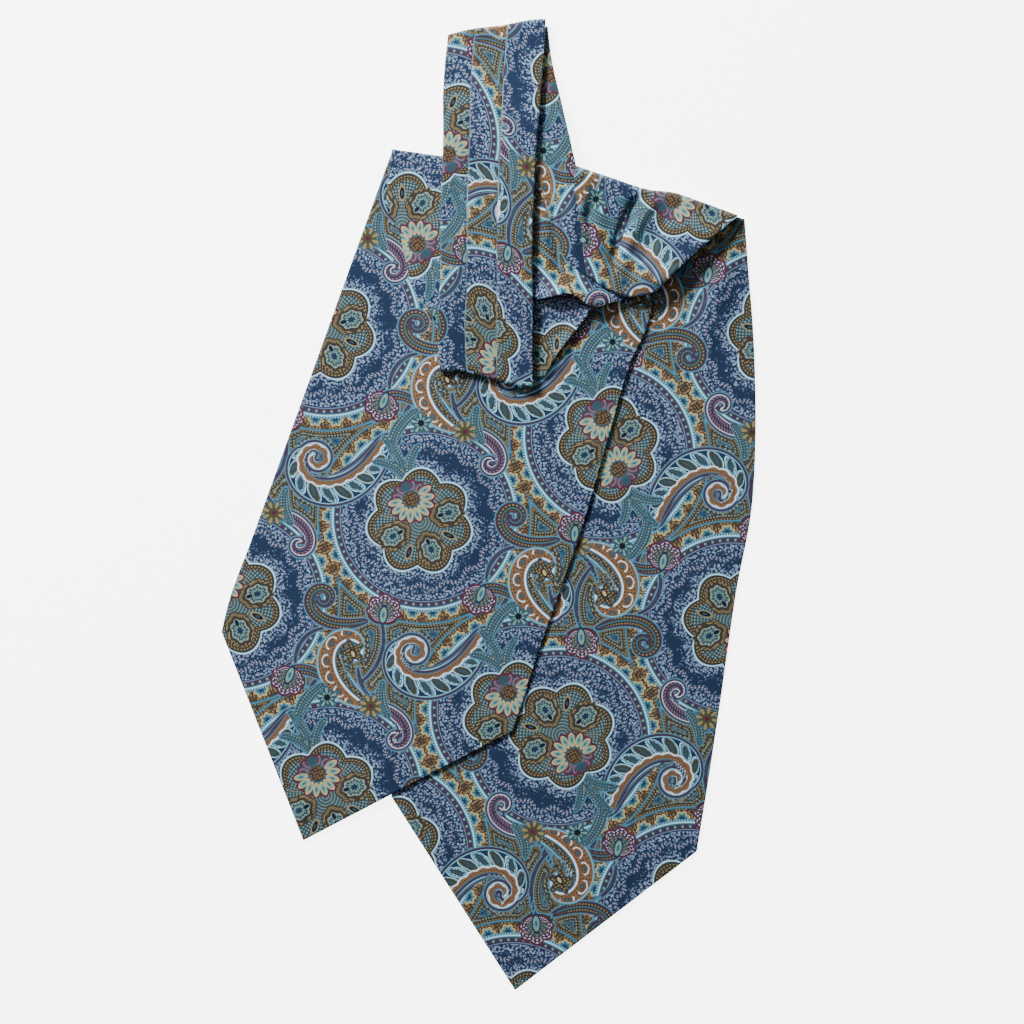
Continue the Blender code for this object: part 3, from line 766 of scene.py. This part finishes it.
COMMA = (
    ("cut(comma - 1.1)", "azure"),
    ("cut(comma - 0.5)", "sky"),
    ("cut(comma)", "ochre"),
    ("cut(comma + 0.4)*dots(comma_run, comma_off, 1.5, 1.5)", "brown"),
    ("cut(lobed - 2.7)*cut(comma + 0.5)*cut(3.0 - comma_off)", "white"),
    ("cut(lobed - 2.2)*cut(comma + 0.4)", "ochre"),
    ("band(lobed, 1.3, 1.8)*cut(comma + 0.5)*cut(0.2 - cos(comma_run*5.0 + comma_off*5.0))", "brown"),
    ("cut(lobed - 1.1)*cut(comma + 0.6)", "brown"),
    ("cut(lobed - 0.7)*cut(comma + 0.6)", "teal"),
    ("cut(comma)*band(comma_off, -0.5, 0.5)", "white"),
    ("cut(comma)*cut(comma_off + 0.5)", "teal"),
    ("cut(comma)*cut(comma_off + 1.2)", "brown"),
    ("cut(comma)*cut(comma_off + 1.4)*cut(pin - 0.42)", "straw"),
    ("cut(comma)*band(comma_off, -4.2, -3.6)", "teal"),
    ("cut(trefoil - 0.6)", "teal"),
    ("cut(trefoil)", "brown"),
    ("cut(trefoil + 0.5)*cut(pin - 0.42)", "straw"),
    ("cut(hypot(cx, (cy + 1.0)*0.5) - 1.3)", "dark"),
    ("cut(hypot(cx, (cy + 1.0)*0.5) - 0.8)", "cream"),
)
TAIL = (
    ("cut(tail - 1.2)", "azure"),
    ("cut(tail - 0.6)", "plum"),
    ("cut(tail + 0.3)", "pale"),
    ("cut(tail + 0.8)", "plum"),
    ("cut(tail + 0.9)*cut(0.1 - cos(tail_run*4.2 + tail_off*2.4))", "rose"),
    ("cut(tail + 0.6)*band(tail_off, -0.35, 0.35)", "navy"),
)
CURL = (
    ("cut(curl - 1.0)", "azure"),
    ("cut(curl - 0.4)", "plum"),
    ("cut(curl + 0.5)", "brown"),
    ("cut(curl + 0.5)*dots(curl_run, curl_off, 1.5, 1.5)", "straw"),
    ("cut(curl + 0.4)*band(curl_off, -0.35, 0.35)", "teal"),
)
LEAF = (
    ("cut(leaf - 0.6)", "azure"),
    ("cut(leaf - 0.1)", "slate"),
    ("cut(leaf + 0.3)*dots(leaf_run, leaf_off, 1.4, 1.4)", "mist"),
    ("cut(leaf + 0.7)*band(leaf_off, -0.25, 0.25)", "teal"),
)
STEM = (
    ("cut(stem - 0.6)", "azure"),
    ("cut(stem - 0.1)", "plum"),
    ("cut(stem + 0.5)", "slate"),
)
PALMETTES = sum((
    ((f"cut({k}shell)", "burgundy"),
     (f"cut({k}shell + 1.0)", "rose"),
     (f"cut({k}shell + 1.4)", "plum"),
     (f"cut({k}shell + 1.3)*dots({k}t*7.0, {k}shell, 1.5, 1.5)", "pale"),
     (f"cut({k}shell + 3.2)", "burgundy"),
     (f"cut({k}shell + 3.8)", "slate"),
     (f"cut({k}shell + 3.9)*dots({k}t*4.0, {k}shell, 1.4, 1.4)", "straw"),
     (f"cut({k}seed - 2.2)", "navy"),
     (f"cut({k}seed - 1.6)", "sage"),
     (f"cut({k}seed - 0.7)", "teal")) for k in "pq"), ())
SPOTS = (
    ("cut(rosette - 0.5)", "teal"),
    ("cut(rosette)", "olive"),
    ("cut(rosette + 0.5)*cut(0.1 - cos(oua*8.0))", "straw"),
    ("cut(our - 2.6)", "olive"),
    ("cut(our - 1.2)", "burgundy"),
    ("cut(bloom - 0.5)", "teal"),
    ("cut(bloom)", "slate"),
    ("cut(bloom + 0.6)*cut(0.1 - cos(ga*10.0))", "sage"),
    ("cut(gr - 1.6)", "dark"),
)
LAYERS = GROUND + STEM + HOOK + TAIL + CURL + COMMA + PALMETTES + LEAF + SPOTS + BLOSSOM
print(len(LAYERS), "layers in all")

# %% Turn the table into a material
silk = bpy.data.materials.new("printed_silk_twill")
silk.use_nodes = True
tree = silk.node_tree
shader = tree.nodes["Principled BSDF"]


def add_node(kind, settings=(), inputs=()):
    """One node with its settings; inputs are (socket, value or output to link)."""
    node = tree.nodes.new(kind)
    for key, value in settings:
        setattr(node, key, value)
    for socket, value in inputs:
        if isinstance(value, bpy.types.NodeSocket):
            tree.links.new(value, node.inputs[socket])
        else:
            node.inputs[socket].default_value = value
    return node


def maths(operation, values, clamp=False):
    """Output of one Math node; a value is a number or an output to link."""
    settings = [("operation", operation), ("use_clamp", clamp)]
    return add_node("ShaderNodeMath", settings, enumerate(values)).outputs[0]


def texture(kind, scale, output, **inputs):
    """Output of a flat texture that lies in the print; scale is the cells to a metre."""
    dimensions = "noise_dimensions" if kind == "Noise" else "voronoi_dimensions"
    sockets = [("Vector", place), ("Scale", scale)] + [(k.capitalize(), v) for k, v in inputs.items()]
    return add_node(f"ShaderNodeTex{kind}", [(dimensions, "2D")], sockets).outputs[output]


# %% Distances as sockets
place = add_node("ShaderNodeUVMap", [("uv_map", "cloth")]).outputs[0]
metres = add_node("ShaderNodeSeparateXYZ", inputs=[(0, place)])
SOCKETS = {}
for c, axis in enumerate("XY"):
    SOCKETS[axis] = maths("MULTIPLY", (metres.outputs[c], 1000.0))
for kind in FIELDS:
    held = add_node("ShaderNodeAttribute", [("attribute_name", f"print_{kind}")])
    split = add_node("ShaderNodeSeparateXYZ", inputs=[(0, held.outputs["Vector"])])
    ends = ("", "_run") if kind == "echo" else ("", "_off", "_run")
    SOCKETS.update({kind + end: split.outputs[c] for c, end in enumerate(ends)})
SOCKETS["grain"] = texture("Noise", 980.0, "Fac", detail=1.2, distortion=0.7)
SOCKETS["pin"] = maths("MULTIPLY", (texture("Voronoi", 660.0, "Distance", randomness=0.45), 1.5))
SOCKETS["leaflet"] = texture("Voronoi", 800.0, "Distance", randomness=1.0)
SOCKETS["drift"] = texture("Noise", 330.0, "Fac", detail=0.0)
print(len(SOCKETS), "distances to build the layers from")

# %% Formulas as nodes
SOFT = 0.18
SHORT = {
    "band": lambda x, a, b: f"cut(abs({x} - {(float(a) + float(b)) / 2}) - {(float(b) - float(a)) / 2})",
    "dots": lambda s, d, p, q: (f"cut(0.8 - cos(({s})*{2 * math.pi / float(p)})"
                                f" - cos(({d})*{2 * math.pi / float(q)}))"),
    "hypot": lambda x, y: f"sqrt(({x})*({x}) + ({y})*({y}))",
}
OPERATORS = {ast.Add: "ADD", ast.Sub: "SUBTRACT", ast.Mult: "MULTIPLY", ast.Div: "DIVIDE"}
CALLS = {"sin": "SINE", "cos": "COSINE", "abs": "ABSOLUTE", "min": "MINIMUM", "max": "MAXIMUM",
         "sqrt": "SQRT", "pow": "POWER", "round": "ROUND", "atan2": "ARCTAN2"}
DONE = {}


def read(text):
    """The written formula as a tree of its parts."""
    return ast.parse(text).body[0].value


def formula(part):
    """Value or socket for a piece of a written formula, each piece made only once."""
    text = ast.unparse(part)
    if text in DONE:
        return DONE[text]
    if isinstance(part, ast.Constant):
        value = float(part.value)
    elif isinstance(part, ast.UnaryOp):
        value = -float(part.operand.value)
    elif isinstance(part, ast.Name):
        value = SOCKETS[part.id] if part.id in SOCKETS else formula(read(SHAPES[part.id]))
    elif isinstance(part, ast.BinOp):
        value = maths(OPERATORS[type(part.op)], (formula(part.left), formula(part.right)))
    elif part.func.id == "cut":
        value = maths("MULTIPLY_ADD", (formula(part.args[0]), -1 / SOFT, 0.5), clamp=True)
    elif part.func.id == "wrap":
        half = float(part.args[1].value) / 2
        value = maths("WRAP", (formula(part.args[0]), half, -half))
    elif part.func.id in SHORT:
        value = formula(read(SHORT[part.func.id](*(ast.unparse(a) for a in part.args))))
    else:
        value = maths(CALLS[part.func.id], [formula(a) for a in part.args])
    DONE[text] = value
    return value


colour = linear(DYE[LAYERS[0][1]])
for where_text, dye in LAYERS[1:]:
    mask = formula(read(where_text))
    mix = add_node("ShaderNodeMix", [("data_type", "RGBA")], [(0, mask), (6, colour), (7, linear(DYE[dye]))])
    colour = mix.outputs[2]
tree.links.new(colour, shader.inputs["Base Color"])
print(len(tree.nodes), "nodes in the silk")

# %% Twill and sheen
# Twill's ribs are a third of a millimetre apart; they are drawn 0.7 mm apart to show.
ribs = formula(read("sin((X + Y)*6.2832)*0.5 + grain*0.6"))
bump = add_node("ShaderNodeBump", inputs=[("Strength", 0.35), ("Distance", 0.00012), ("Height", ribs)])
tree.links.new(bump.outputs[0], shader.inputs["Normal"])
shader.inputs["Roughness"].default_value = 0.65
shader.inputs["Specular IOR Level"].default_value = 0.12
shader.inputs["Sheen Weight"].default_value = 0.05
shader.inputs["Sheen Roughness"].default_value = 0.4

# %% Dress the pieces
for name, (piece, where) in SHEETS.items():
    piece.data.materials.append(silk)
    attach(piece, "root")
    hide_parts(name)

# %% Table, light and camera
TABLE_REACH, TABLE_TOP = 2.0, -0.0003
CAMERA_DISTANCE, SENSOR, SEEN = 2.5, 36.0, 0.512
# Millimetres, in the frame of the tables above.
LOOKED_AT = (11.5, -3.5)
# Each lamp: name, place in metres, size in metres and power in watts.
LAMPS = (("window", (-0.9, 1.15, 0.85), 0.40, 72.0), ("overhead", (-0.4, 0.5, 1.9), 1.3, 6.5))

floor = bpy.data.objects.new("table", bpy.data.meshes.new("table"))
corners = [(x * TABLE_REACH, y * TABLE_REACH, TABLE_TOP) for x, y in ((-1, -1), (1, -1), (1, 1), (-1, 1))]
floor.data.from_pydata(corners, [], [(0, 1, 2, 3)])
bpy.context.scene.collection.objects.link(floor)
paper = bpy.data.materials.new("white_table")
paper.use_nodes = True
white = paper.node_tree.nodes["Principled BSDF"]
white.inputs["Base Color"].default_value = (0.9, 0.9, 0.9, 1)
white.inputs["Emission Color"].default_value = (1, 1, 1, 1)
white.inputs["Emission Strength"].default_value = 5.5
floor.data.materials.append(paper)

world = bpy.data.worlds.new("studio")
bpy.context.scene.world = world
world.use_nodes = True
world.node_tree.nodes["Background"].inputs["Color"].default_value = (1, 1, 1, 1)
world.node_tree.nodes["Background"].inputs["Strength"].default_value = 0.08
for name, stand, size, power in LAMPS:
    lamp = bpy.data.lights.new(name, "AREA")
    lamp.size = size
    lamp.energy = power
    light = bpy.data.objects.new(name, lamp)
    light.location = stand
    light.rotation_euler = (-Vector(stand)).to_track_quat("-Z", "Y").to_euler()
    bpy.context.scene.collection.objects.link(light)

camera = bpy.data.objects.new("camera", bpy.data.cameras.new("camera"))
camera.data.sensor_width = SENSOR
camera.data.lens = SENSOR * CAMERA_DISTANCE / SEEN
middle = (np.array(LOOKED_AT) - CENTRE[:2]) * MM
camera.location = (middle[0], middle[1], CAMERA_DISTANCE + 0.004)
bpy.context.scene.collection.objects.link(camera)
bpy.context.scene.camera = camera
